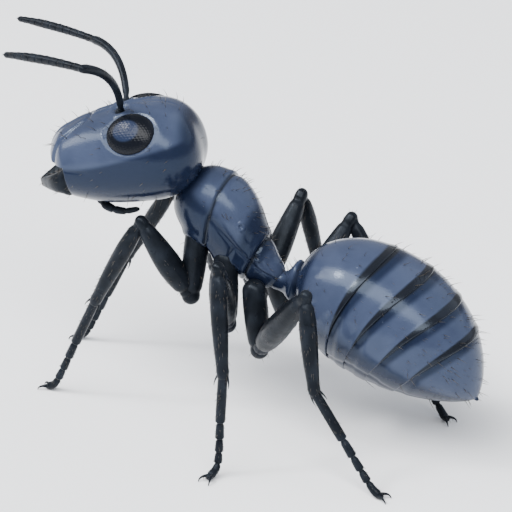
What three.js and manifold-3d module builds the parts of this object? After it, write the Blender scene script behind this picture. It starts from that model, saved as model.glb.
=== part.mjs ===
// A carpenter ant, a big-headed major worker, standing on six feet.
// Millimetres, +Z up. The ant faces -X, its left side is -Y, and the floor is Z = 0.
import * as THREE from "three";
import { mergeVertices } from "three/addons/utils/BufferGeometryUtils.js";
import Module from "manifold-3d";

const wasm = await Module();
wasm.setup();

const vec = (x, y, z) => new THREE.Vector3(x, y, z);

// ---------------------------------------------------------------- driving sizes

const GAP = 0.25; // clearance kept wherever two hard parts meet

const HEAD = {
  back: vec(-4.9, 0, 13.25), // rearmost point of the head
  yaw: 15, // degrees, turned to the ant's left
  pitch: 11, // degrees, jaws down
  length: 7.0, // without the jaws
  halfWidth: 2.65,
  above: 2.45,
  below: 2.15,
};

const EYE = { at: vec(-2.87, 1.85, 1.6), size: [1.13, 0.4, 0.97], tilt: 0.74 };

// The face plate is a flat ellipsoid that leans forward over the jaws.
const FACE_PLATE = { behindFront: 0.85, above: 0.78, size: [1.2, 1.15, 0.5], slope: -0.5 };
const MOUTH = { depth: 0.65, roof: 0.42 }; // the notch under the face plate that holds the jaws
const MANDIBLE = { length: 1.6, base: 1.58, thick: 1.5, tip: 0.5, drop: 0.56, teeth: 5 };

const ANTENNA = {
  socket: { forward: 3.5, aside: 0.54, sink: 0.25 },
  scape: { root: 0.25, end: 0.26, bow: vec(0.35, 0.2, 0.5) },
  flagellum: { joints: 11, radius: 0.26, tip: 0.12, bow: vec(0, 0, 0.1) },
  left: { side: -1, elbow: vec(-8.5, -4.9, 18.0), tip: vec(-13.6, -3.1, 17.3) },
  right: { side: 1, elbow: vec(-12.0, 2.45, 16.5), tip: vec(-17.2, 4.1, 16.3) },
};

// Each palp runs down from the mouth and back under the throat, step by step from its root.
const PALP = {
  root: vec(-5.3, 0.8, -1.25),
  steps: [
    vec(0, 0, 0.55),
    vec(0, 0, -0.35),
    vec(0.3, 0.15, -0.85),
    vec(1.0, 0.25, -1.12),
    vec(1.75, 0.3, -1.1),
  ],
  radius: 0.25,
  tip: 0.13,
};

const THORAX = { halfWidth: 1.9, above: 2.08, below: 1.85, rear: 0.56 };
const NECK = { from: vec(-6.3, 0, 11.75), to: vec(-5.25, 0, 10.8), radius: 0.72 };
const SUTURES = [
  { at: vec(-4.05, 0, 10.0), lean: -12 }, // pronotum from mesothorax, degrees from upright
  { at: vec(-2.3, 0, 8.0), lean: -26 }, // mesothorax from propodeum
];

const PETIOLE = {
  from: vec(-1.0, 0, 7.12),
  to: vec(0.75, 0, 6.88),
  stalk: 0.5,
  scale: vec(-0.38, 0, 7.3),
  scaleSize: [0.36, 0.85, 1.02],
  scaleLean: -0.12,
};

const GASTER = {
  front: vec(0.0, 0, 6.85),
  crown: vec(4.25, 0, 7.6), // pulls the middle of the spine up
  tip: vec(8.65, 0, 3.15),
  halfWidth: 3.0,
  halfHeight: 3.08,
  fullest: 0.42, // share of the length where it is widest
  borders: [0, 0.3, 0.44, 0.59, 0.74, 1], // where one plate ends and the next begins
  blunt: 0.74, // 1 ends in a cone, 0.5 in a ball
  slant: 0.68, // how far the upper edge of a rim trails its sides
  bow: 0.3, // how far the sides of a rim reach forward
  flare: 0.07,
};

const LEG = {
  coxa: { root: 0.56, end: 0.48, belly: 0.08 },
  femur: { root: 0.42, thick: 0.6, end: 0.4, fullest: 0.42 },
  tibia: { root: 0.36, thick: 0.42, end: 0.29, fullest: 0.36 },
  tarsus: { root: 0.29, end: 0.25 },
};
const FOOT = { height: 0.19, claw: 0.5, spread: 0.3, clawRadius: 0.12 };

// Joints of each leg: inside the body, the coxa's end, the knee, the ankle and the foot.
const STANCE = {
  foreleg_left: [
    vec(-4.9, -1.0, 9.3),
    vec(-5.0, -1.6, 6.25),
    vec(-7.0, -2.6, 10.05),
    vec(-9.5, -2.7, 5.5),
    vec(-12.6, -2.45, 0),
  ],
  foreleg_right: [
    vec(-4.9, 1.0, 9.3),
    vec(-5.2, 1.6, 6.4),
    vec(-7.9, 2.5, 9.7),
    vec(-10.8, 2.9, 5.2),
    vec(-13.9, 2.9, 0),
  ],
  midleg_left: [
    vec(-3.5, -1.0, 8.1),
    vec(-3.05, -1.75, 5.25),
    vec(-1.95, -4.95, 9.7),
    vec(-1.25, -5.95, 5.0),
    vec(-1.55, -7.05, 0),
  ],
  midleg_right: [
    vec(-3.5, 1.0, 8.1),
    vec(-3.05, 1.75, 5.25),
    vec(-2.3, 5.0, 9.3),
    vec(-1.75, 6.05, 4.8),
    vec(-1.0, 7.1, 0),
  ],
  hindleg_left: [
    vec(-1.98, -1.1, 6.88),
    vec(-1.45, -1.65, 4.2),
    vec(1.95, -4.15, 8.75),
    vec(2.75, -4.95, 4.6),
    vec(6.25, -5.15, 0),
  ],
  hindleg_right: [
    vec(-1.98, 1.1, 6.88),
    vec(-1.45, 1.65, 4.2),
    vec(0.35, 4.9, 8.6),
    vec(2.8, 4.2, 4.1),
    vec(6.45, 2.65, 0),
  ],
};

const CUTICLE = { color: 0x2f3b54, roughness: 0.28, metalness: 0 };
const LIMB = { color: 0x1b2028, roughness: 0.32, metalness: 0 };
const EYES = { color: 0x0d1016, roughness: 0.15, metalness: 0 };

// ---------------------------------------------------------------- solids

const UP = vec(0, 0, 1);
const clamp01 = (t) => Math.min(1, Math.max(0, t));
const smooth = (t) => clamp01(t) ** 2 * (3 - 2 * clamp01(t));
const mix = THREE.MathUtils.lerp;
const radians = THREE.MathUtils.degToRad;

// 1 along the middle of a form, falling to 0 as u reaches 1, like a rounded nose.
const nose = (u, power) => (1 - clamp01(u) ** power) ** (1 / power);

// A closed three.js geometry as a solid that can be joined and cut.
function solidOf(geometry) {
  const bare = geometry.clone();
  bare.deleteAttribute("normal");
  bare.deleteAttribute("uv");
  const merged = mergeVertices(bare, 1e-5);
  const build = (triVerts) =>
    new wasm.Manifold(
      new wasm.Mesh({
        numProp: 3,
        vertProperties: merged.attributes.position.array,
        triVerts,
      }),
    );
  const faces = new Uint32Array(merged.index.array);
  const solid = build(faces);
  return solid.volume() > 0 ? solid : build(faces.reverse());
}

// A solid as a three.js geometry.
function geometryOf(solid) {
  const { vertProperties, triVerts } = solid.getMesh();
  return new THREE.BufferGeometry()
    .setAttribute("position", new THREE.Float32BufferAttribute(vertProperties, 3))
    .setIndex([...triVerts]);
}

// The largest closed surface of a solid, as a named mesh.
function node(name, solid, look) {
  const largest = solid.decompose().sort((a, b) => b.volume() - a.volume())[0];
  const geometry = geometryOf(largest);
  geometry.computeVertexNormals();
  const mesh = new THREE.Mesh(geometry, new THREE.MeshStandardMaterial(look));
  mesh.name = name;
  return mesh;
}

// A lathe form whose axis is bent along a curve. size(s) gives the half sizes of the
// section that lies s mm along the curve: to the side, upwards and downwards. trail(s, x, z)
// moves the section's point at sideways share x and upward share z on along the form.
function alongCurve(curve, stations, size, { sides, above = UP, trail = () => 0, square = 1 }) {
  const profile = stations.map((s) => new THREE.Vector2(1, s));
  profile.unshift(new THREE.Vector2(0, stations[0]));
  profile.push(new THREE.Vector2(0, stations.at(-1)));
  const geometry = new THREE.LatheGeometry(profile, sides);
  const points = geometry.attributes.position;
  const length = curve.getLength();
  const rounded = (v) => Math.sign(v) * Math.abs(v) ** square;
  for (let i = 0; i < points.count; i++) {
    const s = points.getY(i) + trail(points.getY(i), points.getX(i), points.getZ(i));
    const u = clamp01(s / length);
    const tangent = curve.getTangentAt(u);
    const side = tangent.clone().cross(above).normalize();
    const up = side.clone().cross(tangent);
    const { across, over, under } = size(s);
    const lift = rounded(points.getZ(i)) * (points.getZ(i) > 0 ? over : under);
    const place = curve
      .getPointAt(u)
      .addScaledVector(tangent, s - u * length)
      .addScaledVector(side, rounded(points.getX(i)) * across)
      .addScaledVector(up, lift);
    points.setXYZ(i, ...place.toArray());
  }
  return solidOf(geometry);
}

// Stations set closer together towards both ends.
const easedStations = (from, to, steps) =>
  Array.from({ length: steps + 1 }, (_, i) => mix(from, to, (1 - Math.cos((Math.PI * i) / steps)) / 2));

// A round limb along a curve, radius(t) with t from 0 to 1, with a dome past each end.
function limb(curve, radius, { sides = 10, steps = 8, domed = true } = {}) {
  const length = curve.getLength();
  const [first, last] = [radius(0), radius(1)];
  const stations = Array.from({ length: steps + 1 }, (_, i) => (length * i) / steps);
  if (domed)
    for (const rise of [33, 66].map(radians).map(Math.sin)) {
      stations.unshift(-first * rise);
      stations.push(length + last * rise);
    }
  const chord = curve.getPointAt(1).sub(curve.getPointAt(0));
  const above = Math.abs(chord.z) > 0.7 * chord.length() ? vec(1, 0, 0) : UP;
  const size = (s) => {
    const past = Math.max(-s, s - length);
    const end = s < 0 ? first : last;
    const r = past > 1e-6 ? Math.sqrt(end ** 2 - past ** 2) : radius(clamp01(s / length));
    return { across: r, over: r, under: r };
  };
  return alongCurve(curve, stations, size, { sides, above });
}

function ellipsoid(centre, [a, b, c], turn = new THREE.Matrix4(), sides = 16) {
  const geometry = new THREE.SphereGeometry(1, sides, sides / 2 + 1)
    .scale(a, b, c)
    .applyMatrix4(turn)
    .translate(...centre.toArray());
  return solidOf(geometry);
}

// The arc from a to b that bows out by bow at its middle.
function bowed(a, b, bow) {
  const middle = a.clone().add(b).multiplyScalar(0.5).addScaledVector(bow, 2);
  return new THREE.QuadraticBezierCurve3(a, middle, b);
}

// Cuts a limb where it meets the next one: the plane halves the angle between them, and
// the limb keeps the side towards kept, short of the plane by half the gap.
function mitre(solid, joint, before, after, kept) {
  const into = joint.clone().sub(before).normalize();
  const normal = after.clone().sub(joint).normalize().add(into).normalize();
  if (kept.clone().sub(joint).dot(normal) < 0) normal.negate();
  return solid.trimByPlane(normal.toArray(), joint.dot(normal) + GAP / 2);
}

// ---------------------------------------------------------------- head

const headTurn = new THREE.Matrix4()
  .makeRotationZ(radians(HEAD.yaw))
  .multiply(new THREE.Matrix4().makeRotationY(radians(-HEAD.pitch)));
const headPlace = new THREE.Matrix4().setPosition(HEAD.back).multiply(headTurn);
const onHead = (x, y, z) => vec(x, y, z).applyMatrix4(headPlace);

// Half sizes of the head at t, from its back at 0 to its front at 1.
const face = (t) => Math.sqrt(1 - 0.6 * clamp01((t - 0.9) / 0.1) ** 2);
const cheeks = (t) => 1 - 0.3 * clamp01((t - 0.35) / 0.65) ** 1.8;
const brow = (t) => 1 - 0.42 * clamp01((t - 0.42) / 0.58) ** 2.0;
const throat = (t) => 1 - 0.4 * clamp01((t - 0.5) / 0.5) ** 2;
const headWidth = (t) => HEAD.halfWidth * nose(1 - t / 0.38, 2.3) * cheeks(t) * face(t);
const headAbove = (t) => HEAD.above * nose(1 - t / 0.34, 2.2) * brow(t) * face(t);
const headBelow = (t) => HEAD.below * nose(1 - t / 0.36, 2.1) * throat(t) * face(t);

const socketAt = (side) => {
  const { forward, aside } = ANTENNA.socket;
  return [-forward, aside * side, headAbove(forward / HEAD.length)];
};

// The plain capsule, in the head's own frame, with its back at the origin.
function skull(grow = 0) {
  const size = (s) => {
    const t = clamp01(s / HEAD.length);
    return {
      across: headWidth(t) + grow,
      over: headAbove(t) + grow,
      under: headBelow(t) + grow,
    };
  };
  const stations = easedStations(0.02, HEAD.length, 14);
  if (grow > 0) stations.unshift(-grow);
  const axis = new THREE.LineCurve3(vec(0, 0, 0), vec(-HEAD.length, 0, 0));
  return alongCurve(axis, stations, size, { sides: 24, square: 0.93 });
}

const inPlace = (solid) => solidOf(geometryOf(solid).applyMatrix4(headPlace));

// The capsule with the face plate that reaches over the jaws.
function headCapsule() {
  const { behindFront, above, size, slope } = FACE_PLATE;
  const lean = new THREE.Matrix4().makeRotationY(slope);
  const clypeus = ellipsoid(vec(behindFront - HEAD.length, 0, above), size, lean, 14);
  const notch = new THREE.BoxGeometry(4, 8, 8);
  notch.translate(-HEAD.length + MOUTH.depth - 2, 0, MOUTH.roof - 4);
  return inPlace(skull().add(clypeus).subtract(solidOf(notch)));
}

function eye(side, grow = 0) {
  const { at, size, tilt } = EYE;
  const turn = headTurn.clone().multiply(new THREE.Matrix4().makeRotationX(side * tilt));
  return ellipsoid(onHead(at.x, at.y * side, at.z), size.map((s) => s + grow), turn, 14);
}

// One jaw: a curved outer edge, teeth along the edge that meets the other jaw, and a
// thickness that falls towards its tip.
function mandible(side) {
  const { length, base, thick, tip, drop, teeth } = MANDIBLE;
  const inner = GAP / 2 + 0.02;
  const shape = new THREE.Shape();
  shape.moveTo(0, inner + 0.35);
  shape.lineTo(0, base);
  shape.bezierCurveTo(length * 0.45, base * 1.1, length * 0.95, base * 0.62, length, inner);
  for (let i = 1; i <= teeth; i++) {
    const x = length * (1 - (0.8 * i) / teeth);
    shape.lineTo(x + length * 0.04, inner + 0.2 + 0.02 * i);
    if (i < teeth) shape.lineTo(x, inner);
  }
  const geometry = new THREE.ExtrudeGeometry(shape, {
    depth: 0.8,
    bevelThickness: 0.1,
    bevelSize: 0.08,
    bevelOffset: -0.08,
    bevelSegments: 1,
    curveSegments: 6,
  });
  geometry.translate(0, 0, -0.4);
  const points = geometry.attributes.position;
  for (let i = 0; i < points.count; i++) {
    const [x, y, z] = [points.getX(i), points.getY(i), points.getZ(i)];
    const height = mix(thick, tip, clamp01(x / length));
    points.setXYZ(i, MOUTH.depth - HEAD.length - GAP - x, side * y, z * height - drop - 0.1 * x);
  }
  return solidOf(geometry.applyMatrix4(headPlace));
}

function palp(side, grow = 0) {
  const { root, steps, radius, tip } = PALP;
  const route = steps.map(({ x, y, z }) => onHead(root.x + x, (root.y + y) * side, root.z + z));
  const size = (t) => mix(radius, tip, t ** 2) + grow;
  return limb(new THREE.CatmullRomCurve3(route), size, { sides: 7, steps: 8 });
}

// ---------------------------------------------------------------- antennae

function scape({ side, elbow, tip }, grow = 0) {
  const { root, end, bow } = ANTENNA.scape;
  const [x, y, z] = socketAt(side);
  const socket = onHead(x, y, z - ANTENNA.socket.sink);
  const curve = bowed(socket, elbow, bow);
  const bar = limb(curve, (t) => mix(root, end, t) + grow, { sides: 9, steps: 6 });
  return mitre(bar, elbow, socket, tip, socket);
}

// The joints of the flagellum swell a little towards their ends.
function flagellum({ side, elbow, tip }) {
  const { joints, radius, tip: point, bow } = ANTENNA.flagellum;
  const [x, y, z] = socketAt(side);
  const size = (t) => {
    const waist = (t * joints) % 1 < 0.2 ? 0.93 : 1;
    return mix(radius * waist, point, smooth((t - 0.9) / 0.1));
  };
  const whip = limb(bowed(elbow, tip, bow), size, { sides: 7, steps: joints * 2 });
  return mitre(whip, elbow, onHead(x, y, z), tip, tip);
}

// ---------------------------------------------------------------- mesosoma, petiole, gaster

function thorax() {
  const spine = new THREE.CatmullRomCurve3([
    vec(-6.1, 0, 11.2),
    vec(-4.35, 0, 10.05),
    vec(-2.95, 0, 8.55),
    vec(-2.0, 0, 7.65),
    vec(-1.05, 0, 7.2),
  ]);
  const length = spine.getLength();
  const { halfWidth, above, below, rear } = THORAX;
  const size = (s) => {
    const t = s / length;
    const ends = nose(Math.abs(2 * t - 1), 2.6);
    const slim = 1 - (1 - rear) * smooth((t - 0.22) / 0.68);
    return {
      across: halfWidth * ends * slim,
      over: above * ends * slim,
      under: below * ends * (slim + 0.04),
    };
  };
  return alongCurve(spine, easedStations(0.02, length - 0.02, 14), size, { sides: 22 });
}

function neck(grow = 0) {
  const { from, to, radius } = NECK;
  const size = () => radius + grow;
  return limb(new THREE.LineCurve3(from, to), size, { sides: 12, steps: 1 });
}

// The waist: a short stalk that carries an upright scale.
function petiole(grow = 0) {
  const { from, to, stalk, scale, scaleSize, scaleLean } = PETIOLE;
  const size = () => stalk + grow;
  const turn = new THREE.Matrix4().makeRotationY(scaleLean);
  const bar = limb(new THREE.LineCurve3(from, to), size, { sides: 10, steps: 1 });
  return bar.add(ellipsoid(scale, scaleSize.map((s) => s + grow), turn, 12));
}

// One ring of plates of the gaster, flared at its rear rim.
function gasterPlate(index) {
  const { front, crown, tip, halfWidth, halfHeight, fullest, blunt } = GASTER;
  const { borders, slant, bow, flare } = GASTER;
  const spine = new THREE.QuadraticBezierCurve3(front, crown, tip);
  const length = spine.getLength();
  const last = index === borders.length - 2;
  const from = index === 0 ? 0.02 : borders[index] * length + GAP * 0.7;
  const to = last ? length - 0.03 : borders[index + 1] * length - GAP * 0.7;
  const size = (s) => {
    const t = s / length;
    const rear = (1 - clamp01((t - fullest) / (1 - fullest)) ** 2) ** blunt;
    const bulge = nose(1 - t / fullest, 2.4) * rear;
    const rim = last ? 1 : 1 + (flare * (smooth((s - from) / (to - from)) - 0.6)) / halfWidth;
    const [w, h] = [halfWidth * bulge * rim, halfHeight * bulge * rim];
    return { across: w, over: h, under: h };
  };
  const stations = easedStations(from, to, index === 0 ? 7 : 4);
  const trail = (s, x, z) => Math.sin(Math.PI * clamp01(s / length)) * (slant * z - bow * x * x);
  return alongCurve(spine, stations, size, { sides: 24, trail });
}

// ---------------------------------------------------------------- legs

function coxa([root, hip, knee], grow = 0) {
  const { root: start, end, belly } = LEG.coxa;
  const size = (t) => mix(start, end, t) + belly * Math.sin(Math.PI * t) + grow;
  const bar = limb(new THREE.LineCurve3(root, hip), size, { sides: 10, steps: 4 });
  return mitre(bar, hip, root, knee, root);
}

// A tube along a bowed curve that swells from its root radius to its thickest place, a
// share fullest of the way along, and tapers from there to its end radius.
function segment(from, to, bow, { root, thick, end, fullest }, steps) {
  const size = (t) =>
    t < fullest
      ? mix(root, thick, Math.sin((Math.PI / 2) * (t / fullest)))
      : mix(thick, end, ((t - fullest) / (1 - fullest)) ** 1.6);
  return limb(bowed(from, to, bow), size, { sides: 9, steps });
}

function femur([root, hip, knee, ankle]) {
  const bow = vec(0, Math.sign(hip.y) * 0.1, 0.05);
  const bar = segment(hip, knee, bow, LEG.femur, 7);
  return mitre(mitre(bar, hip, root, knee, knee), knee, hip, ankle, hip);
}

function tibia([, hip, knee, ankle, foot]) {
  const bow = vec(0, Math.sign(hip.y) * 0.08, 0.04);
  const bar = segment(knee, ankle, bow, LEG.tibia, 5);
  return mitre(mitre(bar, knee, hip, ankle, ankle), ankle, knee, foot, knee);
}

// The tarsus comes down from the ankle in five joints and ends in two claws. It rests
// on a small flat where the floor cuts it.
function tarsus([, , knee, ankle, foot]) {
  const { root, end } = LEG.tarsus;
  const { height, claw, spread, clawRadius } = FOOT;
  const away = foot.clone().sub(ankle).setZ(0).normalize();
  const last = foot.clone().setZ(height).addScaledVector(away, -claw / 2);
  const heel = last.clone().addScaledVector(away, -0.5).setZ(height + 0.5);
  const route = new THREE.CatmullRomCurve3([ankle, ankle.clone().lerp(heel, 0.5), heel, last]);
  const joints = [0, 0.46, 0.62, 0.75, 0.86]; // the first is by far the longest
  const size = (t) => {
    const nearJoint = joints.some((start) => start > 0 && Math.abs(t - start) < 0.03);
    return mix(root, end, t) * (nearJoint ? 0.9 : 1.03);
  };
  const across = away.clone().cross(UP);
  const spot = (along, aside, z) =>
    last.clone().addScaledVector(away, along).addScaledVector(across, aside).setZ(z);
  let whole = limb(route, size, { sides: 7, steps: 14 });
  for (const side of [-1, 1]) {
    const curve = new THREE.QuadraticBezierCurve3(
      spot(0, 0.05 * side, height),
      spot(claw * 0.8, spread * side, height + 0.12),
      spot(claw, spread * side, 0.04),
    );
    const size = (t) => clawRadius * (1 - t * 0.6);
    whole = whole.add(limb(curve, size, { sides: 4, steps: 3, domed: false }));
  }
  return mitre(whole, ankle, knee, foot, foot).trimByPlane([0, 0, 1], 0);
}

// ---------------------------------------------------------------- assembly

const ant = new THREE.Group();
const place = (name, solid, look) => ant.add(node(name, solid, look));

let head = headCapsule().subtract(neck(GAP));
for (const [label, side] of [["left", -1], ["right", 1]]) {
  head = head
    .subtract(eye(side, GAP))
    .subtract(scape(ANTENNA[label], GAP))
    .subtract(palp(side, GAP * 1.3));
  place("eye_" + label, eye(side), EYES);
  place("mandible_" + label, mandible(side), LIMB);
  place("palp_" + label, palp(side), LIMB);
  place("antenna_" + label + "_scape", scape(ANTENNA[label]), LIMB);
  place("antenna_" + label + "_flagellum", flagellum(ANTENNA[label]), LIMB);
}
place("head", head, CUTICLE);
place("neck", neck(), LIMB);

// The mesosoma is one form, parted by two leaning cuts into its three plates.
let mesosoma = thorax().subtract(inPlace(skull(GAP * 2))).subtract(neck(GAP)).subtract(petiole(GAP));
for (const joints of Object.values(STANCE)) mesosoma = mesosoma.subtract(coxa(joints, GAP));
const beside = (solid, { at, lean }, sign) => {
  const normal = vec(Math.cos(radians(lean)), 0, Math.sin(radians(lean))).multiplyScalar(sign);
  return solid.trimByPlane(normal.toArray(), at.dot(normal) + GAP / 2);
};
place("pronotum", beside(mesosoma, SUTURES[0], -1), CUTICLE);
place("mesothorax", beside(beside(mesosoma, SUTURES[0], 1), SUTURES[1], -1), CUTICLE);
place("propodeum", beside(mesosoma, SUTURES[1], 1), CUTICLE);
place("petiole", petiole(), CUTICLE);

for (let i = 0; i + 1 < GASTER.borders.length; i++) {
  const plate = gasterPlate(i);
  place("gaster_" + (i + 1), i === 0 ? plate.subtract(petiole(GAP)) : plate, CUTICLE);
}

for (const [leg, joints] of Object.entries(STANCE)) {
  place(leg + "_coxa", coxa(joints), LIMB);
  place(leg + "_femur", femur(joints), LIMB);
  place(leg + "_tibia", tibia(joints), LIMB);
  place(leg + "_tarsus", tarsus(joints), LIMB);
}

// The origin is at floor level, under the middle of the whole ant.
const middle = new THREE.Box3().setFromObject(ant, true).getCenter(vec(0, 0, 0));
ant.position.set(-middle.x, -middle.y, 0);

export default ant;
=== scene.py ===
"""A big-headed carpenter ant worker, standing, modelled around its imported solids."""

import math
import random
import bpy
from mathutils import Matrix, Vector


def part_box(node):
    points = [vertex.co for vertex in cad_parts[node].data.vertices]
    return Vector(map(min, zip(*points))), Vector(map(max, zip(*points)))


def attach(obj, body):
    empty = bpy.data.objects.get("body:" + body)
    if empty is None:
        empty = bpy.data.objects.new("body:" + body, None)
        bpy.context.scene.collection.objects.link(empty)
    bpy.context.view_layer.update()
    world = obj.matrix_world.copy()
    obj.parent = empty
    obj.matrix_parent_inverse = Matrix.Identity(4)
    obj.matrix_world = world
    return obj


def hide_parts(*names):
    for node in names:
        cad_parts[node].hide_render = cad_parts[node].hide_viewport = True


bl_info = {
    "name": "Carpenter ant",
    "version": (1, 0, 0),
    "blender": (4, 5, 0),
    "location": "View3D > Sidebar > Ant",
    "description": "Models the plates, limbs, eyes and bristles of a standing carpenter ant",
    "category": "Add Mesh",
}

from bisect import bisect_right
from contextlib import contextmanager
from functools import cache
from types import SimpleNamespace

import bpy
from bpy.props import FloatProperty, FloatVectorProperty, PointerProperty
from mathutils import Matrix, Vector, geometry, kdtree

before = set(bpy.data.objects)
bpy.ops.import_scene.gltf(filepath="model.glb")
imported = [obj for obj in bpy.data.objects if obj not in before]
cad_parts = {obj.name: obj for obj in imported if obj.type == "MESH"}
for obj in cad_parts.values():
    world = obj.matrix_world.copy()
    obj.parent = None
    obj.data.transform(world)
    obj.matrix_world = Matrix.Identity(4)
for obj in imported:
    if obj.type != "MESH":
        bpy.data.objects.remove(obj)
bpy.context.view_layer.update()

# ---------------------------------------------------------------- places
#
# The forms are modelled in the ant's own frame, in millimetres: it faces -X, its left is
# -Y, the floor is Z = 0 and the gaster starts over the origin.

MM = 0.001
UP = Vector((0, 0, 1))
SIDES = {"left": -1, "right": 1}
NECK_MIDDLE = Vector((-5.775, 0, 11.275))
NECK_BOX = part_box("neck")
TO_ROW = (
    Matrix.Translation((NECK_BOX[0] + NECK_BOX[1]) / 2)
    @ Matrix.Scale(MM, 4)
    @ Matrix.Translation(-NECK_MIDDLE)
)
FROM_ROW = TO_ROW.inverted()

# The head's frame starts at its back and turns with it. Eyes, mouth, palps and feeler
# sockets are placed in it.
HEAD_BACK = Vector((-4.9, 0, 13.25))
EYE_AT = Vector((-2.87, 1.85, 1.6))
EYE_HALF = Vector((1.13, 0.4, 0.97))
EYE_TILT = 0.74
MOUTH_DEPTH = 0.65
MOUTH_ROOF = 0.42
TEETH = 5
PALP_ROOT = Vector((-5.3, 0.8, -1.25))
PALP_BENDS = [(0, 0, 0.55), (0, 0, -0.35), (0.3, 0.15, -0.85), (1.0, 0.25, -1.12), (1.75, 0.3, -1.1)]
PALP_JOINTS = 5
SOCKET = SimpleNamespace(forward=3.5, aside=0.54, sink=0.25)

ELBOWS = {"left": Vector((-8.5, -4.9, 18.0)), "right": Vector((-12.0, 2.45, 16.5))}
FEELER_TIPS = {"left": Vector((-13.6, -3.1, 17.3)), "right": Vector((-17.2, 4.1, 16.3))}
FEELER_JOINTS = 11
NECK_ENDS = [(-6.3, 0, 11.75), (-5.25, 0, 10.8)]
THORAX_SPINE = [(-6.1, 0, 11.2), (-4.35, 0, 10.05), (-2.95, 0, 8.55), (-2.0, 0, 7.65), (-1.05, 0, 7.2)]
# A place on each seam between the plates of the mesosoma, and the seam's lean in degrees.
SEAMS = [(Vector((-4.05, 0, 10.0)), -12), (Vector((-2.3, 0, 8.0)), -26)]
WAIST_ENDS = [(-1.3, 0, 7.16), (0.75, 0, 6.88)]
GASTER_SPINE = [Vector((0, 0, 6.85)), Vector((4.25, 0, 7.6)), Vector((8.65, 0, 3.15))]
# Where the gaster's rings meet and a foot's joints meet, as shares of the whole length.
GASTER_BORDERS = [0, 0.3, 0.44, 0.59, 0.74, 1]
FOOT_BORDERS = [0, 0.46, 0.62, 0.75, 0.86, 1.0]

# Joints of each leg: inside the body, the coxa's end, the knee, the ankle and the foot.
STANCE = {
    "foreleg_left": [
        (-4.9, -1.0, 9.3), (-5.0, -1.6, 6.25), (-7.0, -2.6, 10.05), (-9.5, -2.7, 5.5), (-12.6, -2.45, 0),
    ],
    "foreleg_right": [
        (-4.9, 1.0, 9.3), (-5.2, 1.6, 6.4), (-7.9, 2.5, 9.7), (-10.8, 2.9, 5.2), (-13.9, 2.9, 0),
    ],
    "midleg_left": [
        (-3.5, -1.0, 8.1), (-3.05, -1.75, 5.25), (-1.95, -4.95, 9.7), (-1.25, -5.95, 5.0), (-1.55, -7.05, 0),
    ],
    "midleg_right": [
        (-3.5, 1.0, 8.1), (-3.05, 1.75, 5.25), (-2.3, 5.0, 9.3), (-1.75, 6.05, 4.8), (-1.0, 7.1, 0),
    ],
    "hindleg_left": [
        (-1.98, -1.1, 6.88), (-1.45, -1.65, 4.2), (1.95, -4.15, 8.75), (2.75, -4.95, 4.6), (6.25, -5.15, 0),
    ],
    "hindleg_right": [
        (-1.98, 1.1, 6.88), (-1.45, 1.65, 4.2), (0.35, 4.9, 8.6), (2.8, 4.2, 4.1), (6.45, 2.65, 0),
    ],
}
LEGS = {leg: [Vector(joint) for joint in joints] for leg, joints in STANCE.items()}

# The camera's place and what it looks at.
VIEWPOINT = Vector((36.078, -82.508, 50.560))
VIEW_CENTRE = Vector((-2.224, -0.369, 8.298))
# Each lamp's kind, the way to it, its size in metres or degrees, and its colour.
LAMPS = {
    "softbox": ("AREA", (-0.12, -0.5, 0.86), 1.6, (1, 1, 1)),
    "key": ("SUN", (-0.3, -0.62, 1.0), 40, (1, 1, 1)),
    "fill": ("SUN", (0.7, 0.6, 0.75), 60, (0.78, 0.87, 1)),
    "spark": ("SUN", (-0.52, -0.31, 0.8), 9, (1, 1, 1)),
}

# ---------------------------------------------------------------- sizes and colours


def number_of(label, value, words, **more):
    return FloatProperty(name=label, description=words, default=value, **more)


def size_of(label, millimetres, words):
    """A length that a user may change, kept in metres."""
    return number_of(label, millimetres * MM, words, unit="LENGTH", precision=5)


def colour_of(label, red, green, blue, words):
    colour = (red, green, blue)
    return FloatVectorProperty(
        name=label, description=words, default=colour, min=0, max=1, size=3, subtype="COLOR"
    )


class HeadSizes(bpy.types.PropertyGroup):
    length: size_of("Length", 7.0, "Head from its back to the face plate, without the jaws")
    half_width: size_of("Half width", 2.65, "From the middle to the widest part of the cheek")
    above: size_of("Above", 2.45, "From the head's axis to its crown")
    below: size_of("Below", 2.15, "From the head's axis to its throat")
    jaw_length: size_of("Jaw", 1.6, "How far a closed jaw reaches past its hinge")
    jaw_base: size_of("Jaw base", 1.58, "From the middle to the outer corner of a jaw")
    yaw: number_of("Turn", math.radians(15), "Turn to the ant's left", subtype="ANGLE")
    pitch: number_of("Nod", math.radians(11), "Jaws downwards", subtype="ANGLE")
    facet_relief: number_of("Facet relief", 0.009, "Height of an eye facet as a share of the eye", min=0)


class BodySizes(bpy.types.PropertyGroup):
    thorax_width: size_of("Mesosoma half width", 1.9, "Half width of the front of the mesosoma")
    thorax_above: size_of("Mesosoma above", 2.08, "Back of the mesosoma above its axis")
    thorax_below: size_of("Mesosoma below", 1.85, "Breast of the mesosoma below its axis")
    scale_height: size_of("Waist scale", 1.3, "Top of the waist's scale above its axis")
    gaster_width: size_of("Gaster half width", 3.0, "Half width of the gaster at its fullest")
    gaster_height: size_of("Gaster half height", 3.08, "Half height of the gaster at its fullest")
    lip: size_of("Plate lip", 0.05, "How far a plate's rear rim stands over the next plate")


class LimbSizes(bpy.types.PropertyGroup):
    coxa: size_of("Coxa", 0.56, "Radius of a coxa where it leaves the body")
    femur: size_of("Femur", 0.6, "Radius of the thickest part of a femur")
    tibia: size_of("Tibia", 0.4, "Radius of the thickest part of a tibia")
    tarsus: size_of("Tarsus", 0.25, "Radius of the first joint of a foot")
    scape: size_of("Scape", 0.2, "Radius of the first joint of a feeler")
    flagellum: size_of("Flagellum", 0.21, "Radius of the jointed part of a feeler")
    claw: size_of("Claw", 0.5, "Length of a claw")


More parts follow.
